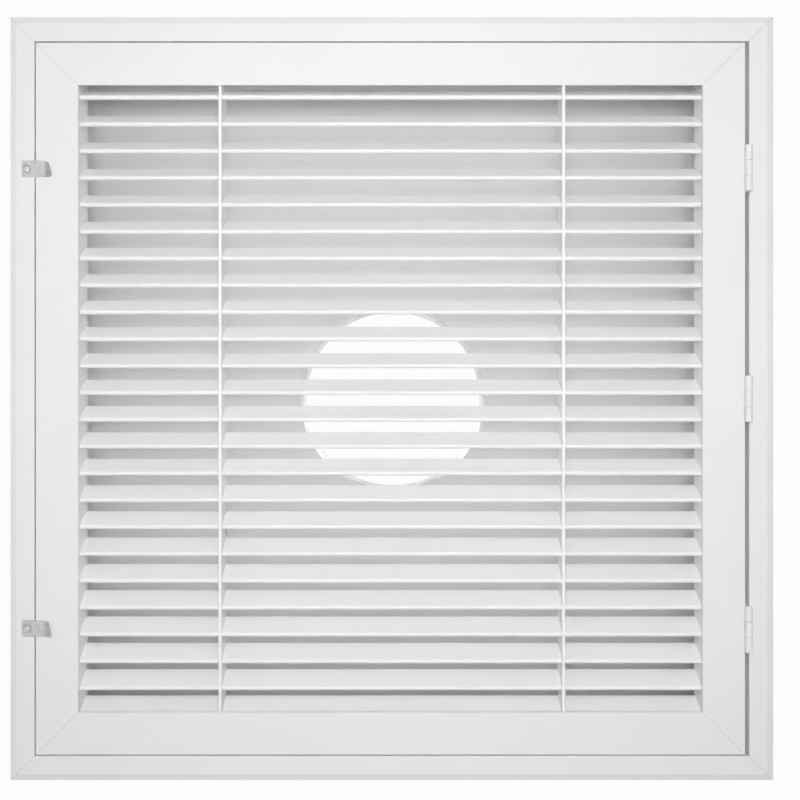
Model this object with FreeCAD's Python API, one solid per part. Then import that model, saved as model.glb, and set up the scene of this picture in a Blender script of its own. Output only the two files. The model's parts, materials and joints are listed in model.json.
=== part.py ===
"""Louvered return grille: a wall frame, a hinged door of fixed slats, a filter space and a duct box.

The frame is four mitred rails. Each rail has a bevelled wall flange, a recess for the door, a ledge
that the door closes on, a neck and a lip that a filter rests against. A folded box closes the neck
from behind, and a round collar on the box takes the duct. The door is four mitred rails round a
core: two slotted channels at its sides, two slotted bars as mullions and the slats that run
through all four. It hangs on three pinned hinges at its right and is held by two turn latches.

Millimetres. X is to the right seen from the room, Y goes from the room into the duct and Z is up.
The origin is the centre of the collar's open mouth, so the whole object lies at negative Y.
"""
import FreeCAD, Part
import math
import os

V = FreeCAD.Vector

# Drills and cutters reach this far past what they cut
past = 1.0

# Whole object
outer_size = 571.5
box_depth = 65.0
collar_length = 50.0

# Frame rails, an extrusion
rail_wall = 1.5
rail_edge_radius = 0.4
wall_plane_depth = 7.0
bevel_width = 5.0
bevel_depth = 1.6
hem_width = 4.0
face_flat = 13.5
ledge_width = 17.25
neck_end_depth = 50.0
filter_lip = 7.0

# Door rails, an extrusion
door_rail_width = 31.75
door_leg_depth = 15.0
seam_gap = 1.0
ledge_gap = 0.3

# Hooked grooves behind the faces, and the corner keys in them
rib_thickness = 0.8
rib_hook = 1.2
key_thickness = 1.6
key_leg = 45.0
key_clearance = 0.1
frame_groove_start = 5.4
frame_groove_width = 4.0
door_groove_start = 5.8
door_groove_width = 12.0

# Box and collar, folded and rolled sheet
sheet = 0.8
sheet_bend = 0.8
sheet_fit = 0.1
box_front_depth = 30.0
duct_radius = 75.0
collar_flange = 13.0
bead_height = 2.5
bead_from_flange = 12.0

# Holes for the screws that hold the frame in the wall
fixing_hole_radius = 2.5
fixing_hole_spacing = 220.0
fixing_hole_depth = 23.4

# Slats
slat_count = 24
slat_width = 19.1
slat_thickness = 1.0
slat_angle = 30.0
slat_bead_radius = 1.8
slat_front_depth = 3.5
first_slat_drop = 9.5
last_slat_below = 5.1
slot_clearance = 0.15
tenon_width = 12.0
tenon_reach = 1.5

# Channels and mullions that carry the slats
channel_wall = 1.2
channel_bend = 0.6
channel_flange = 9.0
channel_end_depth = 24.0
channel_seat_gap = 0.2
core_end_margin = 0.4
mullion_offset = 128.8
mullion_thickness = 2.4
mullion_edge_radius = 0.6
mullion_end_depth = 23.0

# Hinges
hinge_count = 3
hinge_spacing = 171.8
hinge_length = 34.0
leaf_thickness = 1.2
leaf_gap = 0.6
leaf_depth = 12.0
pin_radius = 1.5
pin_clearance = 0.05
pin_end = 0.8
knuckle_gap = 0.3
barrel_gap = 0.1
weld_depth = 0.3

# Turn latches
latch_height = 171.8
latch_pivot_inset = 5.65
latch_half_width = 6.3
latch_heel = 3.8
latch_flat = 14.0
latch_finger = 7.5
latch_finger_angle = 35.0
latch_thickness = 1.0
latch_bend = 0.8
latch_tip_slant = 4.5
latch_tip_radius = 2.5
latch_heel_radius = 2.5
latch_play = 0.05
pivot_radius = 1.7
pivot_clearance = 0.05
pivot_head_radius = 3.0
pivot_head_flat = 1.5
pivot_head_height = 1.2
pivot_tail_radius = 2.3
pivot_tail_height = 1.0

# Places that follow from the sizes above
face_y = -(box_depth + sheet + collar_length)
outer_half = outer_size / 2
recess_inset = bevel_width + face_flat
recess_half = outer_half - recess_inset
neck_inset = recess_inset + ledge_width
neck_half = outer_half - neck_inset
ledge_depth = door_leg_depth + ledge_gap
hinge_gap = 2 * leaf_thickness + leaf_gap
door_left = -(recess_half - seam_gap)
door_right = recess_half - hinge_gap
door_half_height = recess_half - seam_gap
opening_left = door_left + door_rail_width
opening_right = door_right - door_rail_width
opening_half_height = door_half_height - door_rail_width
slat_pitch = (2 * opening_half_height - first_slat_drop + last_slat_below) / (slat_count - 1)
door_groove_end = door_groove_start + door_groove_width + rib_thickness
core_half_height = door_half_height - door_groove_end - core_end_margin
box_inner_half = neck_half + rail_wall + sheet_fit
box_back_y = face_y + box_depth + sheet
web_left = opening_left - channel_seat_gap
web_right = opening_right + channel_seat_gap
knuckle_radius = pin_radius + pin_clearance + leaf_thickness
hinge_x = recess_half - leaf_thickness - leaf_gap / 2
hinge_y = face_y - knuckle_radius - barrel_gap
latch_x = -(recess_half + latch_pivot_inset)

longest_round = 0.45

rows = {"bottom": V(0, 0, 1), "top": V(0, 0, -1), "left": V(1, 0, 0), "right": V(-1, 0, 0)}


def save(name, shape):
    shape.exportStep("parts/" + name + ".step")


def save_set(name, shape, places):
    """The same piece at each of the places, kept together under one name."""
    copies = []
    for place in places:
        piece = shape.copy()
        piece.translate(place)
        copies.append(piece)
    save(name, Part.makeCompound(copies) if len(copies) > 1 else copies[0])


# Flat sections and folded strips

def rounded_outline(points, radii):
    """A flat face through the points, with a round of the given radius at each corner."""
    arrivals = []
    middles = []
    leavings = []
    count = len(points)
    for i in range(count):
        here = points[i]
        back = points[i - 1] - here
        ahead = points[(i + 1) % count] - here
        half_angle = back.getAngle(ahead) / 2
        reach = min(radii[i] / math.tan(half_angle), longest_round * min(back.Length, ahead.Length))
        radius = reach * math.tan(half_angle)
        back.normalize()
        ahead.normalize()
        bisector = (back + ahead).normalize() if radius > 0 else V(0, 0, 0)
        arrivals.append(here + back * reach)
        middles.append(here + bisector * (radius / math.sin(half_angle) - radius))
        leavings.append(here + ahead * reach)
    edges = []
    for i in range(count):
        if radii[i] > 0:
            edges.append(Part.Arc(arrivals[i], middles[i], leavings[i]).toShape())
        edges.append(Part.LineSegment(leavings[i], arrivals[(i + 1) % count]).toShape())
    return Part.Face(Part.Wire(edges))


def polygon(points):
    return Part.Face(Part.makePolygon(points + [points[0]]))


def left_normal(start, end):
    direction = (end - start).normalize()
    return V(-direction.y, direction.x, 0)


def offset_path(points, distance):
    """The same open path, moved to its left, with mitred corners."""
    moved = []
    last = len(points) - 1
    for i, point in enumerate(points):
        before = left_normal(points[max(i - 1, 0)], points[max(i, 1)])
        after = left_normal(points[min(i, last - 1)], points[min(i + 1, last)])
        moved.append(point + (before + after) * (distance / (1 + before.dot(after))))
    return moved


def extruded_strip(points, thickness, edge_radii):
    """Section of an extruded wall on the path's left. The skin's corners have the given radii."""
    moved = offset_path(points, thickness)
    sharp = [0.0] * len(points)
    return rounded_outline(points + moved[::-1], [0.0] + edge_radii + [0.0] + sharp)


def bent_sheet(points, thickness, bend):
    """Section of a folded sheet on the path's left, with the same inside radius at each fold."""
    moved = offset_path(points, thickness)
    skin_radii = [0.0]
    moved_radii = [0.0]
    for i in range(1, len(points) - 1):
        turns_left = (points[i] - points[i - 1]).cross(points[i + 1] - points[i]).z > 0
        skin_radii.append(bend + thickness if turns_left else bend)
        moved_radii.append(bend if turns_left else bend + thickness)
    skin_radii.append(0.0)
    moved_radii.append(0.0)
    return rounded_outline(points + moved[::-1], skin_radii + moved_radii[::-1])


def groove_ribs(start, width):
    """The two hooked ribs behind a face that hold a corner key between them."""
    root = rail_wall / 2
    hook_under = rail_wall + key_thickness + key_clearance
    top = hook_under + rib_thickness
    ribs = []
    for wall, way in ((start, 1), (start + width, -1)):
        ribs.append(polygon([
            V(wall - way * rib_thickness, root, 0),
            V(wall, root, 0),
            V(wall, hook_under, 0),
            V(wall + way * rib_hook, hook_under, 0),
            V(wall + way * rib_hook, top, 0),
            V(wall - way * rib_thickness, top, 0)]))
    return ribs


# Mitred rails: x inward from the outside edge, y back from the face and z along the rail

def mitred_rail(sections, length):
    bars = [section.extrude(V(0, 0, length)) for section in sections]
    bar = bars[0].multiFuse(bars[1:]).removeSplitter()
    bounds = bar.BoundBox
    near = bounds.XMin - past
    far = bounds.XMax + past
    front = bounds.YMin - past
    ends = polygon([
        V(near, front, near), V(far, front, far),
        V(far, front, length - far), V(near, front, length - near)])
    return bar.common(ends.extrude(V(0, bounds.YLength + 2 * past, 0))).Solids[0]


def placed(shape, inward, start):
    """Turn a shape from its own axes, so that its x points inward and its y into the wall."""
    along = inward.cross(V(0, 1, 0))
    matrix = FreeCAD.Matrix(
        inward.x, 0, along.x, start.x,
        inward.y, 1, along.y, start.y,
        inward.z, 0, along.z, start.z,
        0, 0, 0, 1)
    shape = shape.copy()
    shape.Placement = FreeCAD.Placement(matrix)
    return shape


def corners(left, right, half_height):
    """Where the rail of each side starts: the outside corner that its length runs from."""
    return {
        "bottom": V(right, face_y, -half_height),
        "top": V(left, face_y, half_height),
        "left": V(left, face_y, -half_height),
        "right": V(right, face_y, half_height)}


def corner_keys(left, right, half_height, groove_start, groove_width):
    """Four L-shaped plates, one across each mitre, lying in the rails' grooves."""
    near = groove_start + key_clearance
    far = groove_start + groove_width - key_clearance
    outline = polygon([
        V(near, 0, near), V(key_leg, 0, near), V(key_leg, 0, far),
        V(far, 0, far), V(far, 0, key_leg), V(near, 0, key_leg)])
    key = outline.extrude(V(0, key_thickness, 0))
    starts = corners(left, right, half_height)
    depth = V(0, rail_wall + key_clearance / 2, 0)
    return Part.makeCompound([placed(key, rows[side], starts[side] + depth) for side in rows])


def frame_section():
    path = [
        V(hem_width, wall_plane_depth, 0),
        V(0, wall_plane_depth, 0),
        V(0, bevel_depth, 0),
        V(bevel_width, 0, 0),
        V(recess_inset, 0, 0),
        V(recess_inset, ledge_depth, 0),
        V(neck_inset, ledge_depth, 0),
        V(neck_inset, neck_end_depth - rail_wall, 0),
        V(neck_inset + filter_lip, neck_end_depth - rail_wall, 0)]
    seen_edges = [0.0, rail_edge_radius, rail_edge_radius, rail_edge_radius]
    return extruded_strip(path, rail_wall, seen_edges + [0.0] * (len(path) - 2 - len(seen_edges)))


def door_section():
    path = [
        V(0, door_leg_depth, 0),
        V(0, 0, 0),
        V(door_rail_width, 0, 0)]
    return extruded_strip(path, rail_wall, [rail_edge_radius])


def make_frame_rails():
    starts = corners(-outer_half, outer_half, outer_half)
    sections = [frame_section()] + groove_ribs(frame_groove_start, frame_groove_width)
    blank = mitred_rail(sections, outer_size)
    for side in rows:
        rail = placed(blank, rows[side], starts[side])
        if side in ("left", "right"):
            rail = rail.cut([fixing_drill(side, way) for way in (-1, 1)])
        if side == "left":
            rail = rail.cut([latch_drill(height) for height in latch_heights])
        save("frame_rail_" + side, rail)


def fixing_drill(side, way):
    """Drill for a wall screw through the neck, between the ledge and the box."""
    start = rows[side] * -(neck_half - past)
    place = start + V(0, face_y + fixing_hole_depth, way * fixing_hole_spacing / 2)
    return Part.makeCylinder(fixing_hole_radius, rail_wall + 2 * past, place, rows[side] * -1)


def make_door_rails():
    starts = corners(door_left, door_right, door_half_height)
    sections = [door_section()] + groove_ribs(door_groove_start, door_groove_width)
    lengths = {
        "bottom": door_right - door_left,
        "top": door_right - door_left,
        "left": 2 * door_half_height,
        "right": 2 * door_half_height}
    for side in rows:
        rail = mitred_rail(sections, lengths[side])
        save("door_rail_" + side, placed(rail, rows[side], starts[side]))


def make_keys():
    save("frame_corner_keys", corner_keys(
        -outer_half, outer_half, outer_half, frame_groove_start, frame_groove_width))
    save("door_corner_keys", corner_keys(
        door_left, door_right, door_half_height, door_groove_start, door_groove_width))


# Box and collar

def make_box():
    front = face_y + box_front_depth
    outer_wall = box_inner_half + sheet
    outside = Part.makeBox(
        2 * outer_wall, box_back_y - front, 2 * outer_wall, V(-outer_wall, front, -outer_wall))
    inside = Part.makeBox(
        2 * box_inner_half, box_back_y - front, 2 * box_inner_half,
        V(-box_inner_half, front - sheet, -box_inner_half))
    outside = outside.makeFillet(sheet_bend + sheet, back_edges(outside))
    inside = inside.makeFillet(sheet_bend, back_edges(inside))
    hole = Part.makeCylinder(
        duct_radius, sheet + 2 * past, V(0, box_back_y - sheet - past, 0), V(0, 1, 0))
    save("back_box", outside.cut([inside, hole]))


def back_edges(block):
    """The folds: the four edges round the back."""
    return [edge for edge in block.Edges if edge.BoundBox.YMin > block.BoundBox.YMax - sheet]


def make_collar():
    bead_y = box_back_y + bead_from_flange
    path = [
        V(duct_radius, 0, 0),
        V(duct_radius, bead_y + bead_height, 0),
        V(duct_radius + bead_height, bead_y, 0),
        V(duct_radius, bead_y - bead_height, 0),
        V(duct_radius, box_back_y, 0),
        V(duct_radius + collar_flange, box_back_y, 0)]
    section = polygon(path + offset_path(path, sheet)[::-1])
    save("duct_collar", section.revolve(V(0, 0, 0), V(0, 1, 0), 360))


# Slats and the channels that carry them

slat_run = V(0, math.cos(math.radians(slat_angle)), math.sin(math.radians(slat_angle)))
slat_up = V(0, -math.sin(math.radians(slat_angle)), math.cos(math.radians(slat_angle)))
tenon_from = (slat_width - tenon_width) / 2


def slat_bead(index):
    """Centre of the bead along a slat's front edge, at x = 0. Slat 0 is the top one."""
    low_point = opening_half_height - first_slat_drop - index * slat_pitch
    return V(0, face_y + slat_front_depth + slat_bead_radius, low_point + slat_bead_radius)


def on_slat(index, run, up):
    """A point by how far it is behind the bead's centre and above the middle of the blade."""
    middle_of_blade = slat_bead_radius - slat_thickness / 2
    return slat_bead(index) + slat_run * run + slat_up * (middle_of_blade + up)


def slat_block(index, run_from, run_to, half_thickness, left, right):
    """A flat bar along X, set at the slat's angle."""
    face = polygon([
        on_slat(index, run_from, -half_thickness), on_slat(index, run_to, -half_thickness),
        on_slat(index, run_to, half_thickness), on_slat(index, run_from, half_thickness)])
    face.translate(V(left, 0, 0))
    return face.extrude(V(right - left, 0, 0))


def make_slats():
    """Slats whose front edge is rolled under into a bead, with a tenon at each end."""
    half = slat_thickness / 2
    tail = slat_width - slat_bead_radius
    bead_middle = half - slat_bead_radius
    bead_end = math.sqrt(slat_bead_radius ** 2 - (slat_bead_radius - slat_thickness) ** 2)
    left = web_left + slot_clearance
    right = web_right - slot_clearance
    tenon_length = channel_wall + slot_clearance + tenon_reach
    for index in range(slat_count):
        around = [
            on_slat(index, 0, half), on_slat(index, tail, half),
            on_slat(index, tail, -half), on_slat(index, bead_end, -half)]
        edges = Part.makePolygon(around).Edges
        bead_front = on_slat(index, -slat_bead_radius, bead_middle)
        bead = Part.Arc(around[-1], bead_front, around[0]).toShape()
        section = Part.Face(Part.Wire(edges + [bead]))
        section.translate(V(left, 0, 0))
        blade = section.extrude(V(right - left, 0, 0))
        tenons = slat_block(
            index, tenon_from, tenon_from + tenon_width, half, left - tenon_length, right + tenon_length)
        save("slat_%02d" % (index + 1), blade.fuse(tenons).removeSplitter())


def mullion_slots(left, right):
    """Tapered slots that let each whole slat through: wide at the bead, close at the tail."""
    half = slat_thickness / 2 + slot_clearance
    bead = slat_bead_radius + slot_clearance
    under_bead = half - 2 * bead
    tail = slat_width - slat_bead_radius + slot_clearance
    slots = []
    for index in range(slat_count):
        outline = polygon([
            on_slat(index, -bead, half), on_slat(index, -bead, under_bead),
            on_slat(index, bead / 2, under_bead), on_slat(index, tail, -half),
            on_slat(index, tail, half)])
        outline.translate(V(left, 0, 0))
        slots.append(outline.extrude(V(right - left, 0, 0)))
    return slots


def tenon_slots(left, right):
    half = slat_thickness / 2 + slot_clearance
    return [
        slat_block(index, tenon_from - slot_clearance, tenon_from + tenon_width + slot_clearance,
                   half, left, right)
        for index in range(slat_count)]


def make_core_channels():
    path = [
        V(channel_seat_gap + channel_flange, channel_end_depth, 0),
        V(channel_seat_gap, channel_end_depth, 0),
        V(channel_seat_gap, rail_wall, 0),
        V(channel_seat_gap + channel_flange, rail_wall, 0)]
    section = bent_sheet(path, channel_wall, channel_bend)
    bar = section.extrude(V(0, 0, 2 * core_half_height))
    for name, outward, start in (
            ("left", V(-1, 0, 0), V(opening_left, face_y, core_half_height)),
            ("right", V(1, 0, 0), V(opening_right, face_y, -core_half_height))):
        web = start.x + outward.x * (channel_seat_gap + channel_wall / 2)
        slots = tenon_slots(web - past, web + past)
        save("core_channel_" + name, placed(bar, outward, start).cut(slots))


def make_mullions():
    """Flat bars on edge, rounded in front, that the slats pass through."""
    front = face_y + rail_wall
    back = face_y + mullion_end_depth
    for name, centre in (("left", -mullion_offset), ("right", mullion_offset)):
        low = centre - mullion_thickness / 2
        high = centre + mullion_thickness / 2
        section = rounded_outline(
            [V(low, front, 0), V(high, front, 0), V(high, back, 0), V(low, back, 0)],
            [mullion_edge_radius, mullion_edge_radius, 0.0, 0.0])
        bar = section.extrude(V(0, 0, 2 * core_half_height))
        bar.translate(V(0, 0, -core_half_height))
        slots = mullion_slots(low - past, high + past)
        save("mullion_" + name, bar.cut(slots))


# Hinges: two knuckles on the frame's leaf and one between them on the door's leaf

knuckles_per_hinge = 3
knuckle_length = (hinge_length - (knuckles_per_hinge - 1) * knuckle_gap) / knuckles_per_hinge
knuckle_step = knuckle_length + knuckle_gap


def hinge_leaf(way, knuckles, foot):
    """A leaf beside the hinge axis, on the side that way gives, with knuckles at the given steps."""
    near = leaf_gap / 2
    clear_of_barrel = knuckle_radius + barrel_gap / 2
    far = near + leaf_thickness
    in_knuckle_wall = math.sqrt(knuckle_radius ** 2 - far ** 2) - weld_depth
    end = leaf_depth + face_y - hinge_y
    x_low = near if way > 0 else -near - leaf_thickness
    leaf = Part.makeBox(
        leaf_thickness, end - clear_of_barrel, hinge_length, V(x_low, clear_of_barrel, foot))
    bores = []
    for step in knuckles:
        low = foot + step * knuckle_step
        barrel = Part.makeCylinder(knuckle_radius, knuckle_length, V(0, 0, low))
        strap = Part.makeBox(
            leaf_thickness, clear_of_barrel - in_knuckle_wall + leaf_thickness, knuckle_length,
            V(x_low, in_knuckle_wall, low))
        leaf = leaf.fuse([barrel, strap])
        bores.append(Part.makeCylinder(pin_radius + pin_clearance, knuckle_length, V(0, 0, low)))
    return leaf.cut(bores).removeSplitter()


def make_hinges():
    foot = -hinge_length / 2
    pin = Part.makeCylinder(pin_radius, hinge_length + 2 * pin_end, V(0, 0, foot - pin_end))
    heights = [hinge_spacing * ((hinge_count - 1) / 2 - index) for index in range(hinge_count)]
    places = [V(hinge_x, hinge_y, height) for height in heights]
    save_set("hinge_leaves_frame", hinge_leaf(1, (0, 2), foot), places)
    save_set("hinge_leaves_door", hinge_leaf(-1, (1,), foot), places)
    save_set("hinge_pins", pin, places)


# Turn latches: a tab that turns on a headed pivot

latch_heights = (latch_height, -latch_height)


def latch_drill(height):
    hole = pivot_radius + pivot_clearance
    return Part.makeCylinder(
        hole, rail_wall + 2 * past, V(latch_x, face_y - past, height), V(0, 1, 0))


def latch_tab():
    """The tab about its pivot at the origin: flat over the door, then a slanted end bent outwards."""
    slope = math.radians(latch_finger_angle)
    reach = latch_flat + latch_finger * math.cos(slope)
    path = [
        V(reach, -latch_play - latch_finger * math.sin(slope), 0),
        V(latch_flat, -latch_play, 0),
        V(-latch_heel, -latch_play, 0)]
    strip = bent_sheet(path, latch_thickness, latch_bend).extrude(V(0, 0, 2 * latch_half_width))
    strip.translate(V(0, 0, -latch_half_width))
    tip = reach + latch_thickness
    outline = rounded_outline(
        [V(-latch_heel, 0, -latch_half_width), V(tip, 0, -latch_half_width),
         V(tip - latch_tip_slant, 0, latch_half_width), V(-latch_heel, 0, latch_half_width)],
        [latch_heel_radius, latch_tip_radius, latch_tip_radius, latch_heel_radius])
    outline.translate(V(0, -latch_finger - latch_thickness, 0))
    plan = outline.extrude(V(0, latch_finger + latch_thickness, 0))
    hole = pivot_radius + pivot_clearance
    drill = Part.makeCylinder(hole, latch_thickness + past, V(0, 0, 0), V(0, -1, 0))
    return strip.common(plan).cut(drill)


def latch_pivot():
    """A pivot on the y axis: low head in front of the tab, formed tail behind the frame's face."""
    under_head = -(latch_thickness + 2 * latch_play)
    top = under_head - pivot_head_height
    tail_end = rail_wall + pivot_tail_height
    section = polygon([
        V(0, top, 0), V(pivot_head_flat, top, 0), V(pivot_head_radius, under_head, 0),
        V(pivot_radius, under_head, 0), V(pivot_radius, rail_wall, 0),
        V(pivot_tail_radius, rail_wall, 0), V(pivot_tail_radius, tail_end, 0), V(0, tail_end, 0)])
    return section.revolve(V(0, 0, 0), V(0, 1, 0), 360)


def make_latches():
    tab = latch_tab()
    places = [V(latch_x, face_y, height) for height in latch_heights]
    save_set("latch_tab_upper", tab, places[:1])
    save_set("latch_tab_lower", tab, places[1:])
    save_set("latch_rivets", latch_pivot(), places)


os.makedirs("parts", exist_ok=True)
make_frame_rails()
make_door_rails()
make_keys()
make_box()
make_collar()
make_core_channels()
make_mullions()
make_slats()
make_hinges()
make_latches()
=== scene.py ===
# %% [markdown]
# # A louvered return grille, dressed for its picture
# This is the square white grille that covers the mouth of a return air duct. A wall frame holds a
# hinged door of fixed slats. Behind them lie the space for a filter, a folded box and a round collar.
# The solids come from a CAD model. Here they get their paint and plate, and the pieces whose charm is
# in a rolled or pressed edge are made again as smooth surfaces.

import json
import math

import bpy
import numpy as np
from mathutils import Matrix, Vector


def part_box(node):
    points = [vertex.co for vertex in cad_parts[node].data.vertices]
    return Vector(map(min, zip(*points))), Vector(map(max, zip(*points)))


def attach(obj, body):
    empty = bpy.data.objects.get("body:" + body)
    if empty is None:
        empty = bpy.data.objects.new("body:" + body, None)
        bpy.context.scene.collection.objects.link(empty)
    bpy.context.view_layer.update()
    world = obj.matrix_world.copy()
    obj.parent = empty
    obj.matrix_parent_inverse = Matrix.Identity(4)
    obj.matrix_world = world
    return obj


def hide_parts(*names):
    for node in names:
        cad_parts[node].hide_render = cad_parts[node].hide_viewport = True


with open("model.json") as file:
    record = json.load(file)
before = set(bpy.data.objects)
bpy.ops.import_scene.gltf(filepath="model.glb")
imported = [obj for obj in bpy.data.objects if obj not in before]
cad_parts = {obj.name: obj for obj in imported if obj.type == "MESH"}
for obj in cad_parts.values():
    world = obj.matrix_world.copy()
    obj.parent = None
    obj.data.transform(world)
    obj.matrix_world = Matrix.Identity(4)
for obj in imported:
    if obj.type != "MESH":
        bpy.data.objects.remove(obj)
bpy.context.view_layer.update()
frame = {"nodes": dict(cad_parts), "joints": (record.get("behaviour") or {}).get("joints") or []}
nodes = frame["nodes"]
scene = bpy.context.scene


# %% [markdown]
# ## Sizes
# The solids are in metres with the room at negative Y, the duct at positive Y and Z up. Most places can
# be read from a solid's own box. A size of the object is written out only where it gives a section
# its shape, in millimetres and in the cell that first needs it.

# %% The unit and the door's face
mm = 0.001
face_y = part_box("door_rail_top")[0].y
print("face at y =", round(face_y, 4), "m")


# %% [markdown]
# ## How a piece becomes a mesh
# Rolled, turned and folded metal all share one idea: a section that moves along a path. In numpy that
# is a table of points with one row for each place along the path and one column for each point of the
# section. Joining each point to its neighbours in the table gives four-sided faces. The volume of the
# finished skin tells whether it is inside out, and then every face is turned over.

# %% A skin from rows of points
def skin(rows, closed_path=False):
    """Points, four-sided faces and end faces. rows[i, j] is point j of the section at place i.

    An open path gets a flat face at each end. Six times the volume is the sum over the triangles of
    the faces of the dot product of one corner with the cross product of the other two. Only its sign
    is needed, because a skin that is inside out has a volume below zero.
    """
    places, around = rows.shape[:2]
    index = np.arange(places * around).reshape(places, around)
    if closed_path:
        index = np.vstack([index, index[:1]])
    first = index[:-1]
    second = index[1:]
    quads = np.stack([first, np.roll(first, -1, axis=1), np.roll(second, -1, axis=1), second], axis=-1)
    quads = quads.reshape(-1, 4)
    ends = [] if closed_path else [index[0][::-1], index[-1]]
    points = rows.reshape(-1, 3)
    centre = points.mean(axis=0)
    a, b, c, d = (points[quads[:, k]] - centre for k in range(4))
    volume = (a * np.cross(b, c)).sum() + (a * np.cross(c, d)).sum()
    for end in ends:
        fan = points[end] - centre
        volume += (fan[0] * np.cross(fan[1:-1], fan[2:])).sum()
    if volume < 0:
        quads = quads[:, ::-1]
        ends = [end[::-1] for end in ends]
    return points, quads, ends


# %% A piece from one or more skins
crease_angle = math.radians(40.0)


def piece_from(name, skins, body, stands_for, finish):
    """One object from several skins, smooth across edges that are flatter than the crease angle."""
    points = np.concatenate([skin_points for skin_points, _, _ in skins])
    faces = []
    start = 0
    for skin_points, quads, ends in skins:
        faces += (quads + start).tolist()
        faces += [(end + start).tolist() for end in ends]
        start += len(skin_points)
    mesh = bpy.data.meshes.new(name)
    mesh.from_pydata(points.tolist(), [], faces)
    mesh.update()
    mesh.polygons.foreach_set("use_smooth", np.ones(len(faces), dtype=bool))
    mesh.set_sharp_from_angle(angle=crease_angle)
    mesh.materials.append(finish)
    piece = bpy.data.objects.new(name, mesh)
    scene.collection.objects.link(piece)
    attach(piece, body)
    if stands_for:
        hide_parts(*stands_for)
    return piece


# %% [markdown]
# ## Node helper
# A finish is a small network of shader nodes. One helper adds a node, sets its options and feeds its
# inputs, so each material below reads like a recipe. The others name the steps that most finishes
# take: noise, a spread of values, a run of colours, a sum, and the surface itself.

# %% One step of a finish
def step(tree, kind, feeds=None, **options):
    """Adds a node, sets its options, and feeds its sockets with numbers or with other sockets."""
    node = tree.nodes.new(kind)
    for option, value in options.items():
        setattr(node, option, value)
    for socket, value in (feeds or {}).items():
        if isinstance(value, bpy.types.NodeSocket):
            tree.links.new(value, node.inputs[socket])
        else:
            node.inputs[socket].default_value = value
    return node


def calculate(tree, operation, first, second=0.0):
    """The result of one sum on two numbers or sockets."""
    return step(tree, "ShaderNodeMath", {0: first, 1: second}, operation=operation).outputs[0]


# %% Noise, spreads and runs of colour
def noise(tree, place, per_metre, detail):
    """Soft noise from 0 to 1. per_metre counts its bumps, and detail lays finer ones over them."""
    node = step(tree, "ShaderNodeTexNoise", {"Vector": place, "Scale": per_metre, "Detail": detail})
    return node.outputs["Fac"]


def spread(tree, value, low, high):
    """A value from 0 to 1, spread evenly from low to high."""
    node = step(tree, "ShaderNodeMapRange", {"Value": value, "To Min": low, "To Max": high})
    return node.outputs["Result"]


def ramp(tree, value, low_at, low_colour, high_at, high_colour):
    """A colour that runs from the low one to the high one as the value passes between two places."""
    node = step(tree, "ShaderNodeValToRGB", {"Fac": value})
    node.color_ramp.elements[0].position = low_at
    node.color_ramp.elements[0].color = (*low_colour, 1.0)
    node.color_ramp.elements[1].position = high_at
    node.color_ramp.elements[1].color = (*high_colour, 1.0)
    return node.outputs["Color"]


# %% The finish's start and end
def new_finish(name):
    """An empty finish: its node tree, its surface shader and the place on the object."""
    material = bpy.data.materials.new(name)
    material.use_nodes = True
    tree = material.node_tree
    place = step(tree, "ShaderNodeTexCoord").outputs["Object"]
    return material, tree, tree.nodes["Principled BSDF"], place


def surface(tree, shader, colour, roughness, height, strength, depth):
    """Feeds the shader its colour and roughness, and the height pattern as bumps of a depth in metres."""
    bump = step(tree, "ShaderNodeBump", {"Height": height, "Strength": strength, "Distance": depth})
    tree.links.new(colour, shader.inputs["Base Color"])
    tree.links.new(roughness, shader.inputs["Roughness"])
    tree.links.new(bump.outputs["Normal"], shader.inputs["Normal"])


# %% [markdown]
# ## White powder coat
# The frame, door and slats are sprayed with white powder and baked. Close up such a coat has the skin
# of an orange: soft bumps about a millimetre across. Its sheen is satin and its white varies by a
# hair from place to place. Noise in two sizes gives the bumps, and a wide noise the tone. A drawn
# picture would need an image file, while noise on the object's own place needs nothing and never
# slides. The slats and what lies behind them get a whiter copy of the rails' coat. That extra white
# is painted light, standing in for the light that falls between the slats and into the box.

# %% The hairlines of the mitres
hairline_half = 0.10 * mm
hairline_fades_at = 0.34 * mm
hairline_grey = (0.60, 0.60, 0.59, 1.0)


def with_hairlines(tree, place, colour, centre, shift):
    """Dark hairlines where |x - centre| + shift equals |z|, the mitres of a picture frame's corners.

    Inputs 0, 6 and 7 of a mix of colours are its share and the two colours, and output 2 is the mix.
    """
    parts = step(tree, "ShaderNodeSeparateXYZ", {"Vector": place})
    across = calculate(tree, "ABSOLUTE", calculate(tree, "SUBTRACT", parts.outputs["X"], centre))
    up = calculate(tree, "ABSOLUTE", parts.outputs["Z"])
    off = calculate(tree, "SUBTRACT", calculate(tree, "ADD", across, shift), up)
    distance = calculate(tree, "ABSOLUTE", off)
    line = step(tree, "ShaderNodeMapRange",
                {"Value": distance, "From Min": hairline_half, "From Max": hairline_fades_at,
                 "To Min": 1.0, "To Max": 0.0})
    joint = step(tree, "ShaderNodeMix",
                 {0: line.outputs["Result"], 6: colour, 7: hairline_grey}, data_type="RGBA")
    return joint.outputs[2]


# %% The coat
fine_peel_share = 0.35


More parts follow.
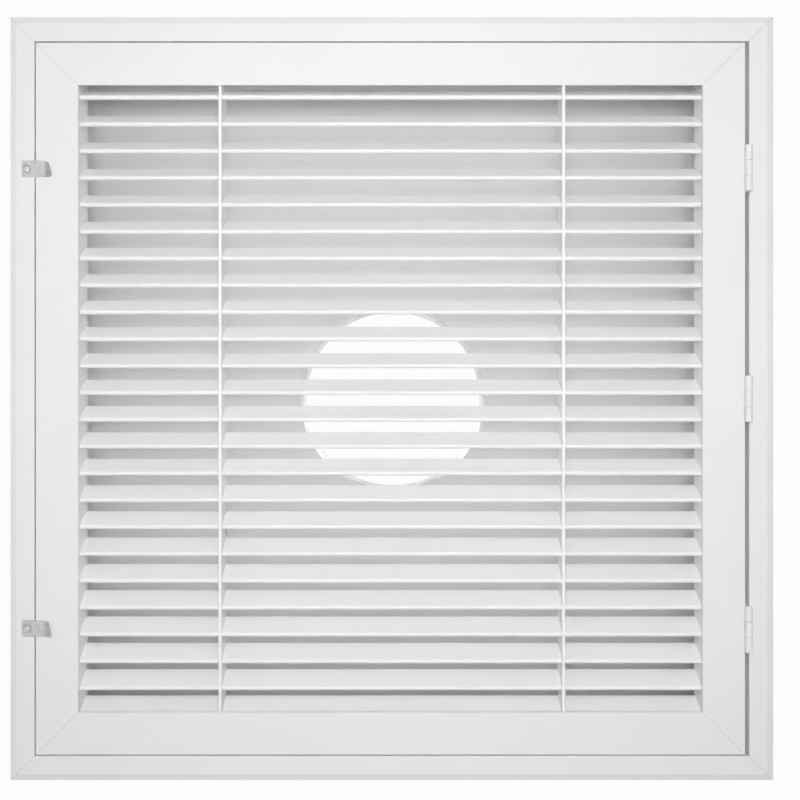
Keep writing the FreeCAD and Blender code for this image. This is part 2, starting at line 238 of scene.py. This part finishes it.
def powder_coat(name, tones, mitres=None):
    """White satin paint. mitres gives the centre and shift of the corner joints that show as hairlines."""
    material, tree, shader, place = new_finish(name)
    tone = noise(tree, place, per_metre=11.0, detail=4.0)
    colour = ramp(tree, tone, 0.3, tones[0], 0.7, tones[1])
    if mitres:
        colour = with_hairlines(tree, place, colour, *mitres)
    peel = noise(tree, place, per_metre=820.0, detail=2.0)
    fine_peel = noise(tree, place, per_metre=2600.0, detail=1.0)
    height = calculate(tree, "ADD", peel, calculate(tree, "MULTIPLY", fine_peel, fine_peel_share))
    roughness = spread(tree, noise(tree, place, per_metre=45.0, detail=3.0), 0.40, 0.52)
    surface(tree, shader, colour, roughness, height, strength=0.3, depth=0.04 * mm)
    shader.inputs["IOR"].default_value = 1.48
    return material


# %% Coats for slats, leaves, frame and door
rail_coat = ((0.864, 0.858, 0.861), (0.887, 0.881, 0.884))
# The slats' coat is the rails' white made brighter: painted light on the slats and all that lies behind
# them.
slat_coat_with_painted_light = ((0.939, 0.930, 0.934), (0.961, 0.952, 0.956))
paint = powder_coat("white_powder_coat", slat_coat_with_painted_light)
leaf_paint = powder_coat("white_powder_coat_leaves", rail_coat)
frame_paint = powder_coat("white_powder_coat_frame_mitres", rail_coat, (0.0, 0.0))
door_low, door_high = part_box("door_rail_top")
door_centre = (door_low.x + door_high.x) / 2
door_half_width = (door_high.x - door_low.x) / 2
door_paint = powder_coat("white_powder_coat_door_mitres", rail_coat,
                         (door_centre, door_high.z - door_half_width))
print("coats:", ", ".join(coat.name for coat in (paint, leaf_paint, frame_paint, door_paint)))


# %% [markdown]
# ## Zinc plate
# Latches, pivots, pins, rivets and corner keys are small steel pieces plated with dull zinc. The plate
# has a wide soft gloss, cloudy patches and fine scratches from the tumbling drum. The cloudy film on
# the zinc scatters light as paint does, so only about half of the shine is a metal's. Scratches come
# from noise that is stretched along one axis.

# %% The plate
scratches_per_metre = (300.0, 3000.0, 5200.0)


def zinc_plate(name):
    """Dull plate: clouds in the colour, and scratches along X in the roughness and the height."""
    material, tree, shader, place = new_finish(name)
    cloud = noise(tree, place, per_metre=260.0, detail=5.0)
    colour = ramp(tree, cloud, 0.3, (0.55, 0.56, 0.58), 0.72, (0.67, 0.68, 0.69))
    stretched = step(tree, "ShaderNodeMapping", {"Vector": place, "Scale": scratches_per_metre})
    scratch = noise(tree, stretched.outputs["Vector"], per_metre=1.0, detail=3.0)
    roughness = spread(tree, scratch, 0.46, 0.64)
    surface(tree, shader, colour, roughness, scratch, strength=0.2, depth=0.02 * mm)
    shader.inputs["Metallic"].default_value = 0.55
    return material


zinc = zinc_plate("dull_zinc_plate")
print("plate:", zinc.name)


# %% [markdown]
# ## Galvanised sheet
# The collar is rolled from hot-dipped sheet, whose zinc freezes in flat crystals called spangle. Each
# crystal reflects a little more or less than the next. A Voronoi pattern is just such a set of cells:
# its colour gives each cell its own brightness and roughness. A little noise is added to the place
# first, which bends the cells' straight borders.

# %% The spangle
border_bend = 12.0 * mm
crystals_per_metre = 110.0


def galvanised_sheet(name):
    """Spangled sheet: the cells' red gives the brightness and their green the roughness."""
    material, tree, shader, place = new_finish(name)
    warp = step(tree, "ShaderNodeTexNoise", {"Vector": place, "Scale": 60.0, "Detail": 2.0})
    bent = step(tree, "ShaderNodeVectorMath",
                {0: warp.outputs["Color"], 1: (border_bend, border_bend, border_bend)},
                operation="MULTIPLY")
    moved = step(tree, "ShaderNodeVectorMath", {0: place, 1: bent.outputs["Vector"]}, operation="ADD")
    cells = step(tree, "ShaderNodeTexVoronoi",
                 {"Vector": moved.outputs["Vector"], "Scale": crystals_per_metre})
    shade = step(tree, "ShaderNodeSeparateXYZ", {"Vector": cells.outputs["Color"]})
    colour = ramp(tree, shade.outputs["X"], 0.0, (0.60, 0.61, 0.63), 1.0, (0.82, 0.83, 0.84))
    roughness = spread(tree, shade.outputs["Y"], 0.28, 0.50)
    grain = noise(tree, place, per_metre=1500.0, detail=2.0)
    surface(tree, shader, colour, roughness, grain, strength=0.15, depth=0.02 * mm)
    shader.inputs["Metallic"].default_value = 1.0
    return material


galvanised = galvanised_sheet("galvanised_spangle")
print("sheet:", galvanised.name)


# %% [markdown]
# ## Finishes on the solids
# Extrusions, channels and the box are already the right shape as solids, so they only get their
# finish. The rails get the coats whose hairlines run along the mitres of the frame and of the door.

# %% Give each solid its finish
def finish_of(node):
    """The paint, plate or sheet that a solid is made with, told by its name."""
    if node.startswith("frame_rail"):
        return frame_paint
    if node.startswith("door_rail"):
        return door_paint
    if node.startswith("hinge_leaves"):
        return leaf_paint
    if node == "duct_collar":
        return galvanised
    if node.startswith(("latch", "hinge_pins")) or node.endswith("corner_keys"):
        return zinc
    # Everything else, such as the slats, channels and the box, takes the white with painted light.
    return paint


for node, solid in nodes.items():
    if not solid.material_slots:
        solid.data.materials.append(finish_of(node))
    for place_for_finish in solid.material_slots:
        place_for_finish.material = finish_of(node)
print("solids with a finish:", sum(1 for solid in nodes.values() if solid.material_slots))


# %% [markdown]
# ## Slats
# Each slat is a strip that runs through rollers, which curl its front edge under into a round bead and
# leave a soft edge at its back. It could be a cube with bevels, but the blade's top runs smoothly into
# the bead while the underside meets it in a crease, and this is what the light shows. So the section is
# drawn as a closed curve of points and carried straight from one side channel to the other. A flat
# tenon sticks out of each end, and shows behind the channel.

# %% The rolled section
slat_bead_radius = 1.8 * mm
slat_thickness = 1.0 * mm
slat_width = 19.1 * mm
points_round_bead = 37
points_round_tail = 13


def arc(centre, radius, from_angle, to_angle, count):
    """Points on a circle, centre plus radius times cosine and sine of evenly stepped angles."""
    angles = np.linspace(from_angle, to_angle, count)
    return np.stack([centre[0] + radius * np.cos(angles), centre[1] + radius * np.sin(angles)], axis=1)


def slat_section():
    """The slat's outline in its own run and rise, with the bead's centre at the origin.

    The bead's circle starts at its top, where the blade's upper side leaves it, and goes round the
    front and below until its rise equals that of the blade's underside: at the angle whose sine is
    radius minus thickness over radius.
    """
    half = slat_thickness / 2
    crease = math.asin((slat_bead_radius - slat_thickness) / slat_bead_radius)
    bead = arc((0.0, 0.0), slat_bead_radius, math.pi / 2, 2 * math.pi + crease, points_round_bead)
    tail_centre = (slat_width - slat_bead_radius - half, slat_bead_radius - half)
    tail = arc(tail_centre, half, -math.pi / 2, math.pi / 2, points_round_tail)
    return np.concatenate([bead, tail])


section_of_slat = slat_section()
print("points in the slat's section:", len(section_of_slat))


# %% Carry a section along X
slat_angle = math.radians(30.0)


def carried_along_x(section, bead_y, bead_z, stops):
    """Rows of points: the section turned by the slat's angle and repeated at each stop along X.

    y is bead_y plus run times cosine minus rise times sine, and z is bead_z plus run times sine plus
    rise times cosine.
    """
    run = section[:, 0]
    rise = section[:, 1]
    rows = np.empty((len(stops), len(section), 3))
    rows[:, :, 0] = np.asarray(stops)[:, None]
    rows[:, :, 1] = bead_y + run * math.cos(slat_angle) - rise * math.sin(slat_angle)
    rows[:, :, 2] = bead_z + run * math.sin(slat_angle) + rise * math.cos(slat_angle)
    return rows


# %% The tenon's section
tenon_width = 12.0 * mm
tenon_ease = 0.12 * mm


def tenon_section():
    """A flat bar with eased edges, in the middle of the blade's width and as thick as the blade."""
    start = (slat_width - tenon_width) / 2
    end = start + tenon_width
    high = slat_bead_radius
    low = high - slat_thickness
    return np.array([
        [start, low + tenon_ease], [start + tenon_ease, low],
        [end - tenon_ease, low], [end, low + tenon_ease],
        [end, high - tenon_ease], [end - tenon_ease, high],
        [start + tenon_ease, high], [start, high - tenon_ease]])


section_of_tenon = tenon_section()
print("tenon width:", round(tenon_width / mm, 2), "mm")


# %% Roll all the slats
tenon_length = 2.85 * mm
tenon_overlap = 0.02 * mm
blade_end = 0.15 * mm
blade_spans = 8


def rolled_slat(node):
    """The blade between the two channels, and at each end a tenon that reaches a hair into it."""
    low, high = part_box(node)
    bead = (low.y + slat_bead_radius, low.z + slat_bead_radius)
    left = low.x + tenon_length
    right = high.x - tenon_length
    between = np.linspace(left, right, blade_spans + 1)[1:-1]
    parts = (
        (section_of_slat, [left, left + blade_end, *between, right - blade_end, right]),
        (section_of_tenon, [low.x, left + tenon_overlap]),
        (section_of_tenon, [right - tenon_overlap, high.x]))
    skins = [skin(carried_along_x(section, *bead, stops)) for section, stops in parts]
    piece_from("rolled_" + node, skins, "door", [node], paint)


slat_nodes = sorted(node for node in nodes if node.startswith("slat_"))
for node in slat_nodes:
    rolled_slat(node)
print("rolled slats:", len(slat_nodes))


# %% [markdown]
# ## Duct collar
# The collar is a strip rolled into a ring. One end is flanged outwards against the box, its free end
# takes the duct, and a round bead between them stops the duct's clamp from slipping off. All of it is
# one thin profile turned about the Y axis. The bead is a smooth swell here, with the sheet's thickness
# kept all the way, where the solid has a plain ridge.

# %% Turn a thin profile
def turned_about_y(profile, steps):
    """Rows of points: profile radius and y, swept round the Y axis in equal steps of angle."""
    angle = np.linspace(0.0, 2 * math.pi, steps, endpoint=False)[:, None]
    rows = np.empty((steps, len(profile), 3))
    rows[:, :, 0] = profile[:, 0] * np.cos(angle)
    rows[:, :, 1] = profile[:, 1]
    rows[:, :, 2] = profile[:, 0] * np.sin(angle)
    return rows


def sheet_outline(path, thickness):
    """A closed outline round a thin sheet: the path moved half a thickness to each side.

    The direction at each point is the difference between its neighbours, and its left normal is that
    direction turned a quarter.
    """
    direction = np.gradient(path, axis=0)
    direction /= np.linalg.norm(direction, axis=1)[:, None]
    normal = np.stack([-direction[:, 1], direction[:, 0]], axis=1)
    return np.concatenate([path + normal * thickness / 2, (path - normal * thickness / 2)[::-1]])


# %% Sizes of the collar
collar_low, collar_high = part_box("duct_collar")
sheet = 0.8 * mm
inner_radius = 75.0 * mm
middle_radius = inner_radius + sheet / 2
bead_height = 2.5 * mm
bead_half_span = 1.6 * bead_height
bead_from_flange = 12.0 * mm
bead_y = collar_low.y + bead_from_flange
corner_bend = 1.4 * mm
mouth_y = -0.25 * mm
flange_y = collar_low.y + sheet / 2
flange_inside_box = 0.2 * mm
flange_edge = collar_high.x - flange_inside_box
print("collar runs from y =", round(collar_low.y, 4), "to", mouth_y, "m")


# %% The collar's profile and ring
wall_points = 140
bend_points = 9
ring_steps = 160


def collar_path():
    """Middle line of the sheet: the wall with its bead, the bend and the flange.

    The bead raises the wall by its height times half of one plus the cosine of half a turn, scaled to
    the bead's half span.
    """
    along = np.linspace(mouth_y, flange_y + corner_bend, wall_points)
    off_bead = np.clip(np.abs(along - bead_y) / bead_half_span, 0.0, 1.0)
    swell = (0.5 + 0.5 * np.cos(math.pi * off_bead)) * bead_height
    wall = np.stack([middle_radius + swell, along], axis=1)
    bend = arc((middle_radius + corner_bend, flange_y + corner_bend), corner_bend,
               math.pi, 1.5 * math.pi, bend_points)
    return np.concatenate([wall, bend[1:], [[flange_edge, flange_y]]])


ring = turned_about_y(sheet_outline(collar_path(), sheet), ring_steps)
collar = piece_from("rolled_duct_collar", [skin(ring, closed_path=True)],
                    "frame", ["duct_collar"], galvanised)
print("collar points:", len(collar.data.vertices))


# %% [markdown]
# ## Hinges
# Each hinge is a pin through three knuckles. A knuckle is the edge of its leaf curled round the pin,
# which leaves a thin slit where the edge comes back. A pipe with a plate stuck on would lack that
# curl, so the sheet's middle line is drawn as a path and given its thickness. Curling stretches the
# sheet, so it is a hair thinner there, and that keeps it inside the solid's box. The outer two hinges
# stand level with the latches.

# %% Sizes of the hinges
hinge = next(joint for joint in frame["joints"] if joint["name"] == "door_swing")
hinge_x, hinge_y = hinge["pos_m"][:2]
latch_joints = [joint for joint in frame["joints"] if joint["name"].startswith("latch")]
latch_height = max(joint["pos_m"][2] for joint in latch_joints)
hinge_heights = (latch_height, 0.0, -latch_height)
hinge_length = 34.0 * mm
leaf_thickness = 1.2 * mm
leaf_gap = 0.6 * mm
leaf_middle_x = leaf_gap / 2 + leaf_thickness / 2
pin_radius = 1.5 * mm
pin_clearance = 0.05 * mm
curl_radius = pin_radius + pin_clearance + leaf_thickness / 2
print("hinges at z =", hinge_heights, "m")


# %% The curled knuckle
joggle_start_y = 4.2 * mm
joggle_pull = 1.1 * mm
joggle_points = 9
curl_points = 46


def knuckle_path():
    """Middle line of the edge that curls round the origin: a joggle out of the leaf, then the curl.

    The joggle leaves the leaf along -y and meets the circle along its tangent. It is a cubic curve:
    the sum of its two ends and two handles, weighted by the powers of t and of one minus t.
    """
    meet = math.radians(50.0)
    curl_end = math.radians(-238.0)
    circle = arc((0.0, 0.0), curl_radius, meet, curl_end, curl_points)
    tangent = np.array([math.sin(meet), -math.cos(meet)])
    a = np.array([leaf_middle_x, joggle_start_y])
    b = a - (0.0, joggle_pull)
    c = circle[0] - tangent * 0.5 * joggle_pull
    d = circle[0]
    t = np.linspace(0.0, 1.0, joggle_points)[:, None]
    joggle = ((1 - t) ** 3) * a + 3 * (1 - t) ** 2 * t * b + 3 * (1 - t) * t ** 2 * c + t ** 3 * d
    return np.concatenate([joggle, circle[1:]])


def carried_along_z(outline, way, foot, length):
    """Rows of points: the outline about the hinge's axis, mirrored by way, at both ends of a length."""
    ends = np.array([foot, foot + length])
    rows = np.empty((2, len(outline), 3))
    rows[:, :, 0] = hinge_x + way * outline[:, 0]
    rows[:, :, 1] = hinge_y + outline[:, 1]
    rows[:, :, 2] = ends[:, None]
    return rows


# %% Outlines of the curl and of the plate
knuckle_gap = 0.3 * mm
knuckle_length = (hinge_length - 2 * knuckle_gap) / 3
thinned_by_curling = 0.02 * mm
plate_start_y = 2.85 * mm
plate_end_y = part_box("hinge_leaves_frame")[1].y - hinge_y
knuckle_outline = sheet_outline(knuckle_path(), leaf_thickness - thinned_by_curling)
plate_outline = sheet_outline(
    np.array([[leaf_middle_x, plate_start_y], [leaf_middle_x, plate_end_y]]), leaf_thickness)
print("knuckle length:", round(knuckle_length / mm, 2), "mm")


# %% Leaves with their knuckles
def ease_edges(piece, width):
    """Rounds every edge sharper than 50 degrees, as a file or a drum does."""
    bevel = piece.modifiers.new("eased_edges", "BEVEL")
    bevel.width = width
    bevel.segments = 2
    bevel.limit_method = "ANGLE"
    bevel.angle_limit = math.radians(50.0)


def curled_leaves(node, body, way, curls):
    """Three leaves, each a plate with a knuckle at the given thirds of the hinge's length."""
    skins = []
    for height in hinge_heights:
        foot = height - hinge_length / 2
        skins.append(skin(carried_along_z(plate_outline, way, foot, hinge_length)))
        for third in curls:
            start = foot + third * (knuckle_length + knuckle_gap)
            skins.append(skin(carried_along_z(knuckle_outline, way, start, knuckle_length)))
    leaves = piece_from("curled_" + node, skins, body, [node], leaf_paint)
    ease_edges(leaves, 0.12 * mm)


curled_leaves("hinge_leaves_frame", "frame", 1, (0, 2))
curled_leaves("hinge_leaves_door", "door", -1, (1,))
print("hinges with curled leaves:", len(hinge_heights))


# %% [markdown]
# ## Hinge pins and latch pivots
# Pins and pivots are turned or headed parts, so they are profiles turned about their own axis. The
# pin's ends are slightly domed, and the pivot has a low domed head over the latch and a formed tail
# behind the face.

# %% Turn small solid profiles
def turned_solid(profile, centre, axis, steps=40):
    """Rows of points: radius and height along the axis (0 for X, 1 for Y, 2 for Z), swept round it.

    The first and last radius are a hair above zero, so the flat end faces close the poles.
    """
    angle = np.linspace(0.0, 2 * math.pi, steps, endpoint=False)
    rows = np.empty((len(profile), steps, 3))
    first, second = [k for k in range(3) if k != axis]
    rows[:, :, axis] = centre[axis] + profile[:, 1][:, None]
    rows[:, :, first] = centre[first] + profile[:, 0][:, None] * np.cos(angle)
    rows[:, :, second] = centre[second] + profile[:, 0][:, None] * np.sin(angle)
    return rows


def dome(radius, height, base, way, count=9):
    """A cap: radius times cosine, and base plus way times height times sine, of almost a quarter turn.

    way is 1 or -1, and tells on which side of the base the cap stands.
    """
    short_of_pole = 0.02
    turn = np.linspace(0.0, math.pi / 2 - short_of_pole, count)
    return np.stack([radius * np.cos(turn), base + way * height * np.sin(turn)], axis=1)


# %% The hinge pins
pin_past_hinge = 0.8 * mm
pin_dome = 0.5 * mm
shank_half = hinge_length / 2 + pin_past_hinge - pin_dome
pin_profile = np.concatenate([
    dome(pin_radius, pin_dome, -shank_half, -1)[::-1],
    dome(pin_radius, pin_dome, shank_half, 1)])
piece_from(
    "turned_hinge_pins",
    [skin(turned_solid(pin_profile, (hinge_x, hinge_y, height), 2)) for height in hinge_heights],
    "frame", ["hinge_pins"], zinc)
print("pins:", len(hinge_heights))


# %% The latch pivots
latch_thickness = 1.0 * mm
latch_play = 0.05 * mm
under_head = -(latch_thickness + 2 * latch_play)
head_radius = 3.0 * mm
head_rim = 0.1 * mm
head_shoulder = 0.15 * mm
head_dome = 1.0 * mm
pivot_radius = 1.7 * mm
rail_wall = 1.5 * mm
tail_radius = 2.3 * mm
tail_rim = 0.05 * mm
tail_dome = 0.95 * mm
pivot_profile = np.concatenate([
    dome(head_radius - head_rim, head_dome, under_head - head_shoulder, -1, count=12)[::-1],
    [[head_radius, under_head - head_rim], [head_radius, under_head], [pivot_radius, under_head],
     [pivot_radius, rail_wall], [tail_radius, rail_wall]],
    dome(tail_radius, tail_dome, rail_wall + tail_rim, 1, count=8)])
piece_from(
    "headed_latch_rivets",
    [skin(turned_solid(pivot_profile, joint["pos_m"], 1)) for joint in latch_joints],
    "frame", ["latch_rivets"], zinc)
print("pivots:", len(latch_joints))


# %% [markdown]
# ## Turn latches
# A latch is a little tab of pressed steel. It lies flat over the seam, and its free end is cut at a
# slant and bent out for a finger. Seen from its pivot, every edge of the tab is in plain sight, so the
# sheet can be laid out in polar lines from the pivot's hole to the rim. The bend lifts each point by
# its place along the tab. Solidify gives the sheet its thickness and Bevel takes the sharpness off.

# %% Sizes of the tab
tab_low, tab_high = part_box("latch_tab_upper")
latch_half_width = (tab_high.z - tab_low.z) / 2
latch_reach = tab_high.x - latch_joints[0]["pos_m"][0]
latch_heel = latch_joints[0]["pos_m"][0] - tab_low.x
latch_tip_slant = 4.5 * mm
bend_start = 13.4 * mm
bend_radius = 1.4 * mm
finger_slope = math.radians(35.0)
print("tab reaches", round(latch_reach / mm, 1), "mm from its pivot")


# %% The rim and the bend
def rim_distance(turn):
    """How far the rim of the tab lies from the pivot in each direction.

    Each straight edge of the tab has an outward direction and a distance from the pivot. The part of
    the view direction that points at the edge, over that distance, says how near the edge is. The rim
    is one over the root of the sum of these shares to a high power, which rounds the corners.
    """
    tip = np.array([2 * latch_half_width, latch_tip_slant])
    tip /= np.linalg.norm(tip)
    tip_distance = tip @ np.array([latch_reach, -latch_half_width])
    edges = ((-1.0, 0.0, latch_heel), (0.0, 1.0, latch_half_width), (0.0, -1.0, latch_half_width),
             (tip[0], tip[1], tip_distance))
    power = 7.0
    shares = sum(np.clip(x * np.cos(turn) + z * np.sin(turn), 0.0, None) ** power / distance ** power
                 for x, z, distance in edges)
    return shares ** (-1 / power)


def lift(x):
    """The bend: flat, then a round of the bend radius, then a straight slope.

    In the round the lift is the radius minus the root of its square less the square of the way gone.
    """
    along = np.clip(x - bend_start, 0.0, None)
    curve_end = bend_radius * math.sin(finger_slope)
    in_curve = np.minimum(along, curve_end)
    curve = bend_radius - np.sqrt(bend_radius ** 2 - in_curve ** 2)
    return curve + np.clip(along - curve_end, 0.0, None) * math.tan(finger_slope)


# %% The pressed tab
rim_points = 160
rings_to_rim = 30


def pressed_tab(name, joint, body):
    """The tab as rings of points from the hole to the rim: radius times cosine and sine of the turn.

    The radius runs evenly from the hole's to the rim's distance. Each point lies in front of the face
    by the play and its lift. The call gives back the y of the foremost point.
    """
    turns = np.linspace(0.0, 2 * math.pi, rim_points, endpoint=False)
    share = np.linspace(0.0, 1.0, rings_to_rim)[:, None]
    hole = pivot_radius + latch_play
    radius = hole + (rim_distance(turns) - hole) * share
    x = radius * np.cos(turns)
    z = radius * np.sin(turns)
    centre = joint["pos_m"]
    points = np.stack([centre[0] + x, centre[1] - latch_play - lift(x), centre[2] + z], axis=-1)
    index = np.arange(rings_to_rim * rim_points).reshape(rings_to_rim, rim_points)
    ahead = np.roll(index, -1, axis=1)
    quads = np.stack([index[:-1], index[1:], ahead[1:], ahead[:-1]], axis=-1).reshape(-1, 4)
    tab = piece_from(name, [(points.reshape(-1, 3), quads, [])], body,
                     [name.replace("pressed_", "")], zinc)
    wall = tab.modifiers.new("thickness", "SOLIDIFY")
    wall.thickness = latch_thickness
    wall.offset = -1.0
    wall.use_even_offset = True
    ease_edges(tab, 0.2 * mm)
    return points[:, :, 1].min()


for joint, side in zip(latch_joints, ("upper", "lower")):
    front = pressed_tab("pressed_latch_tab_" + side, joint, "latch_" + side)
    print(side, "tab reaches out to y =", round(float(front), 4), "before it gets its thickness")


# %% [markdown]
# ## Blind rivets
# Small dome-headed rivets hold the box to the neck and the collar to the box. They are the same turned
# profile many times, so one profile is turned about each rivet's own axis and all go into one piece.

# %% One head
rivet_sink = 0.3 * mm
rivet_rim = 0.15 * mm


def rivet_head(centre, axis, way, radius, height):
    """A domed head on a surface: a short rim, then a cap, with its base sunk a little into the sheet."""
    pole = 0.02 * radius
    profile = np.concatenate([
        [[pole, -rivet_sink], [radius, -rivet_sink], [radius, rivet_rim]],
        dome(radius, height - rivet_rim, rivet_rim, 1, count=8)[1:]])
    profile = profile * (1, way)
    return skin(turned_solid(profile, centre, axis, steps=24))


# %% Heads on the box's four sides
box_low, box_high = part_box("back_box")
neck_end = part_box("frame_rail_left")[1].y
lap_y = (box_low.y + neck_end) / 2
shares_of_half_side = (-0.72, 0.0, 0.72)
heads = []
for share in shares_of_half_side:
    along = share * box_high.x
    for centre, axis, way in (
            ((box_low.x, lap_y, along), 0, -1), ((box_high.x, lap_y, along), 0, 1),
            ((along, lap_y, box_low.z), 2, -1), ((along, lap_y, box_high.z), 2, 1)):
        heads.append(rivet_head(centre, axis, way, radius=3.0 * mm, height=1.1 * mm))
print("heads on the box:", len(heads))


# %% Heads round the collar
rivets_from_bore = 8.2 * mm
rivet_circle = inner_radius + rivets_from_bore
flange_back_y = collar_low.y + sheet
sixths_of_a_turn = np.radians(np.arange(30, 390, 60))
for turn in sixths_of_a_turn:
    spot = (rivet_circle * math.cos(turn), flange_back_y, rivet_circle * math.sin(turn))
    heads.append(rivet_head(spot, 1, 1, radius=2.2 * mm, height=0.9 * mm))
piece_from("blind_rivet_heads", heads, "frame", [], zinc)
print("rivet heads:", len(heads))


# %% [markdown]
# ## Camera
# The grille was photographed square on from about 0.7 m. At that distance a normal lens takes in 600
# mm at the face, which is how the picture frames it. The camera stands a few millimetres to the right
# of the middle, because the object sits that much to the left in the picture.

# %% Put the camera in front
camera_right = 6.1 * mm
camera_distance = 716.0 * mm
camera_down = 1.0 * mm
camera_data = bpy.data.cameras.new("front_camera")
camera_data.sensor_width = 36.0
camera_data.lens = 43.1
camera_data.clip_start = 0.01
camera_data.clip_end = 50.0
camera = bpy.data.objects.new("front_camera", camera_data)
camera.location = (camera_right, face_y - camera_distance, -camera_down)
camera.rotation_euler = (math.radians(90.0), 0.0, 0.0)
scene.collection.objects.link(camera)
scene.camera = camera
print("camera at", [round(v, 4) for v in camera.location])


# %% [markdown]
# ## Floor and wall
# A white object on a white ground needs care: the ground must look white without throwing more light
# on the grille. Light Path's camera, glossy and transmission rays see a shader that is mostly an even
# white, with a share of the real lit surface kept so that the object's shadow stays. Every other ray
# sees plain pale paint.

# %% The pale stage
lit_share = 0.03
pale = (0.8, 0.8, 0.8, 1.0)
white = (1.0, 1.0, 1.0, 1.0)


def stage_finish(name):
    """Pale paint that shows itself to the camera as an even white with a share of what is lit."""
    material = bpy.data.materials.new(name)
    material.use_nodes = True
    tree = material.node_tree
    tree.nodes.clear()
    seen = step(tree, "ShaderNodeLightPath")
    glossy = calculate(tree, "MAXIMUM", seen.outputs["Is Camera Ray"], seen.outputs["Is Glossy Ray"])
    looked_at = calculate(tree, "MAXIMUM", glossy, seen.outputs["Is Transmission Ray"])
    lit = step(tree, "ShaderNodeBsdfDiffuse", {"Color": pale})
    glow = step(tree, "ShaderNodeEmission", {"Color": white, "Strength": 1.0})
    picture = step(tree, "ShaderNodeMixShader", {0: lit_share, 1: glow.outputs[0], 2: lit.outputs[0]})
    ground = step(tree, "ShaderNodeMixShader", {0: looked_at, 1: lit.outputs[0], 2: picture.outputs[0]})
    step(tree, "ShaderNodeOutputMaterial", {"Surface": ground.outputs[0]})
    return material


ground_finish = stage_finish("pale_ground")
print("ground:", ground_finish.name)


# %% Two sheets of the stage
floor_z = -1.4
back_wall_y = 2.0
back_wall_height = 4.0
reach = 4.0


def stage_sheet(name, corners):
    """One flat sheet of the ground, which isn't part of the object."""
    mesh = bpy.data.meshes.new(name)
    mesh.from_pydata(corners, [], [(0, 1, 2, 3)])
    mesh.materials.append(ground_finish)
    ground = bpy.data.objects.new(name, mesh)
    scene.collection.objects.link(ground)


wall_top = floor_z + back_wall_height
stage_sheet("floor", [(-reach, -reach, floor_z), (reach, -reach, floor_z),
                      (reach, back_wall_y, floor_z), (-reach, back_wall_y, floor_z)])
stage_sheet("back_wall", [(-reach, back_wall_y, floor_z), (reach, back_wall_y, floor_z),
                          (reach, back_wall_y, wall_top), (-reach, back_wall_y, wall_top)])
print("floor at z =", floor_z, "and wall at y =", back_wall_y)


# %% [markdown]
# ## Light
# Studio light for a white product is broad and soft. The main lamp stands close to the camera, a
# little above the middle, so that it reaches the slats' faces behind the door's rim. A weaker lamp
# higher up makes the top rail a little brighter than the bottom one, as in the photograph, and a faint
# one lower down softens the undersides. A lamp on each side lights the left and right rails. The two
# lamps behind are for the back, which this picture doesn't show. The world fills the shadows between
# the slats. The levels are set so that the paint renders about as bright as in the photograph.

# %% The world
world_fill = 0.16
scene.view_settings.view_transform = "Standard"
world = bpy.data.worlds.new("soft_studio")
scene.world = world
world.use_nodes = True
world_tree = world.node_tree
world_tree.nodes.clear()
world_seen = step(world_tree, "ShaderNodeLightPath")
fill_light = step(world_tree, "ShaderNodeBackground", {"Color": white, "Strength": world_fill})
white_light = step(world_tree, "ShaderNodeBackground", {"Color": white, "Strength": 1.0})
world_mix = step(world_tree, "ShaderNodeMixShader",
                 {0: world_seen.outputs["Is Camera Ray"], 1: fill_light.outputs[0],
                  2: white_light.outputs[0]})
step(world_tree, "ShaderNodeOutputWorld", {"Surface": world_mix.outputs[0]})
print("world:", world.name)


# %% The lamps
def soft_lamp(name, place, size, watts):
    """A square area lamp of the given side that looks at the middle of the grille's face."""
    lamp_data = bpy.data.lights.new(name, "AREA")
    lamp_data.shape = "SQUARE"
    lamp_data.size = size
    lamp_data.energy = watts
    lamp = bpy.data.objects.new(name, lamp_data)
    way = np.array([0.0, face_y, 0.0]) - np.array(place)
    distance = float(np.linalg.norm(way))
    lamp.location = place
    lamp.rotation_euler = (
        math.acos(-way[2] / distance), 0.0, math.atan2(way[1], way[0]) - math.pi / 2)
    lamp.visible_camera = False
    scene.collection.objects.link(lamp)
    return distance


for name, place, size, watts in (
        ("by_the_camera", (0.0, -1.15, 0.13), 0.4, 5.9),
        ("top_near", (0.0, -1.0, 0.55), 0.7, 2.1),
        ("low_near", (0.0, -1.05, -0.45), 0.5, 0.5),
        ("left_side", (-1.1, -1.0, 0.1), 0.8, 2.15),
        ("right_side", (1.1, -1.0, 0.1), 0.8, 2.15),
        ("back_left", (-1.3, 1.5, 0.8), 1.2, 14.0),
        ("back_right", (1.3, 1.5, 0.8), 1.2, 14.0)):
    print(name, "stands", round(soft_lamp(name, place, size, watts), 2), "m away")
